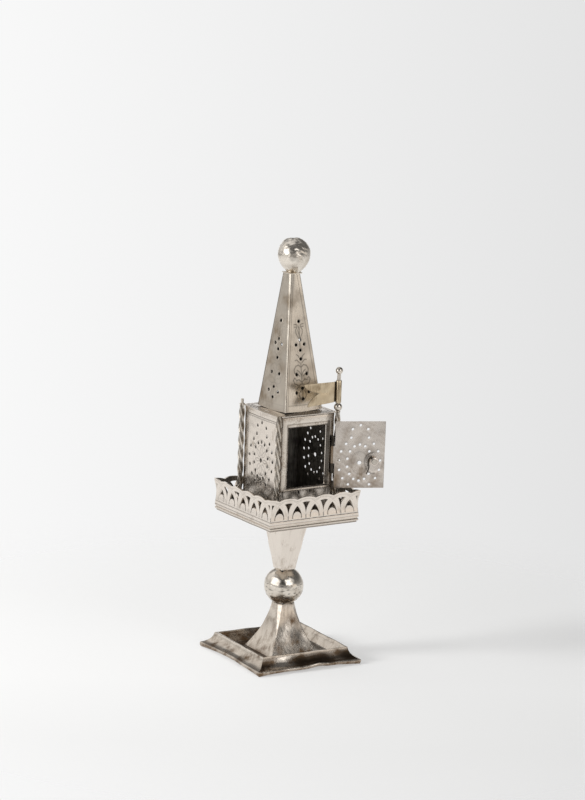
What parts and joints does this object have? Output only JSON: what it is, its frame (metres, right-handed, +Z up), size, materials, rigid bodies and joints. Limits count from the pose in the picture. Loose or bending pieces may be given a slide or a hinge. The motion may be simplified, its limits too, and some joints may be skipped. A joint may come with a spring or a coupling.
{
  "type": "besamim spice box",
  "caption": "Tower-shaped silver spice box: pierced chamber with hinged door and turning latch under a pierced spire, flag, galleried tray, knopped stem and square foot.",
  "frame": {"origin": "middle of the square foot's underside, on the plane it rests on", "axes": "+Z up the tower, -Y out through the doorway, +X to the hinge side of the doorway"},
  "size_m": [0.0694, 0.0621, 0.2198],
  "materials": {
    "silver_sheet": "aged satin",
    "polished_silver": "worn polish",
    "worn_silver": "tarnished",
    "silver_wire": "aged satin"
  },
  "bodies": {
    "tower": {"foot_edge_band": "worn_silver", "foot_moulding": "worn_silver", "pedestal": "worn_silver", "knop_lower": "polished_silver", "knop_upper": "polished_silver", "stem": "silver_sheet", "tray_floor": "silver_sheet", "tray_moulding_front": "silver_sheet", "tray_moulding_right": "silver_sheet", "tray_moulding_back": "silver_sheet", "tray_moulding_left": "silver_sheet", "gallery_front": "silver_sheet", "gallery_right": "silver_sheet", "gallery_back": "silver_sheet", "gallery_left": "silver_sheet", "box_wall_front": "silver_sheet", "box_wall_right": "silver_sheet", "box_wall_back": "silver_sheet", "box_wall_left": "silver_sheet", "door_frame": "silver_sheet", "corner_post_front_left": "silver_wire", "corner_post_front_right": "silver_wire", "corner_post_back_right": "silver_wire", "corner_post_back_left": "silver_wire", "roof_plate": "silver_sheet", "spire_panel_front": "silver_sheet", "spire_panel_right": "silver_sheet", "spire_panel_back": "silver_sheet", "spire_panel_left": "silver_sheet", "spire_cap": "silver_sheet", "finial_ball_lower": "polished_silver", "finial_ball_upper": "polished_silver", "flag_pole": "silver_wire", "flag_pole_bead": "polished_silver", "flag_pole_ball": "polished_silver", "flag_pole_stub": "silver_wire", "hinge_knuckles": "silver_wire", "hinge_pin": "silver_wire"},
    "door": {"door": "silver_sheet"},
    "latch": {"latch_lever": "silver_wire", "latch_spindle": "silver_wire"},
    "flag": {"flag": "silver_sheet"}
  },
  "joints": [
    {"name": "door_swing", "type": "hinge", "parent": "tower", "child": "door", "pos_m": [0.0145, -0.0188, 0.10994], "axis": [0, 0, 1], "range_deg": [-156, 12]},
    {"name": "latch_turn", "type": "hinge", "parent": "door", "child": "latch", "pos_m": [0.03405, -0.0275, 0.10694], "axis": [-0.4067, -0.9135, 0], "range_deg": [-30, 120]},
    {"name": "flag_turn", "type": "hinge", "parent": "tower", "child": "flag", "pos_m": [0.01774, -0.01774, 0.142], "axis": [0, 0, 1], "range_deg": [-15, 285]}
  ]
}
